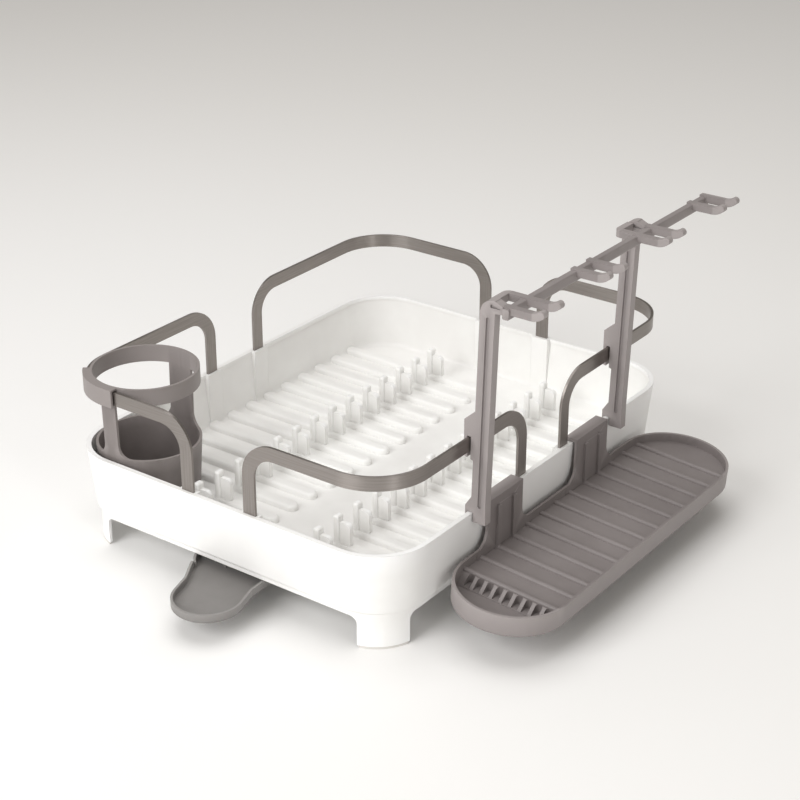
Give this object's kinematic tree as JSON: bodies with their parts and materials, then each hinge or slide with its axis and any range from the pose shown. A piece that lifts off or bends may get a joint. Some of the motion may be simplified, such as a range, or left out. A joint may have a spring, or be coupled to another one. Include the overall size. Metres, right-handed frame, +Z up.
{
  "type": "dish drying rack",
  "caption": "White dish drying basin on corner legs with ribbed floor and pegs, brushed metal corner rails, grey utensil cup, stemware rack, clip-on drip tray and a swivel spout",
  "frame": {"origin": "on the ground under the middle of the whole object's box", "axes": "+X along the long side away from the spout, -Y towards the stemware rack and drip tray, +Z up"},
  "size_m": [0.5216, 0.4618, 0.2858],
  "materials": {
    "white_plastic": "satin moulded",
    "grey_plastic": "satin moulded",
    "spout_plastic": "satin moulded",
    "brushed_steel": "brushed along the strip",
    "rubber": "matte"
  },
  "bodies": {
    "basin": {"tray_basin": "white_plastic", "rail_near": "brushed_steel", "rail_left": "brushed_steel", "rail_far": "brushed_steel", "rail_right": "brushed_steel", "foot_pad_near": "rubber", "foot_pad_left": "rubber", "foot_pad_right": "rubber", "foot_pad_far": "rubber"},
    "spout": {"spout": "spout_plastic"},
    "utensil_holder": {"utensil_holder": "grey_plastic"},
    "stemware_rack": {"rack_post_front": "grey_plastic", "rack_post_rear": "grey_plastic", "stem_bar": "grey_plastic"},
    "drip_tray": {"drip_tray": "grey_plastic"}
  },
  "joints": [
    {"name": "spout_swivel", "type": "hinge", "parent": "basin", "child": "spout", "pos_m": [-0.16669, 0.05087, 0.0245], "axis": [0, 0, 1], "continuous": true},
    {"name": "utensil_holder_lift", "type": "slide", "parent": "basin", "child": "utensil_holder", "axis": [0, 0, 1], "range_m": [0, 0.15]},
    {"name": "stemware_rack_lift", "type": "slide", "parent": "basin", "child": "stemware_rack", "axis": [0, 0, 1], "range_m": [0, 0.04]},
    {"name": "drip_tray_lift", "type": "slide", "parent": "basin", "child": "drip_tray", "axis": [0, 0, 1], "range_m": [0, 0.022]}
  ]
}
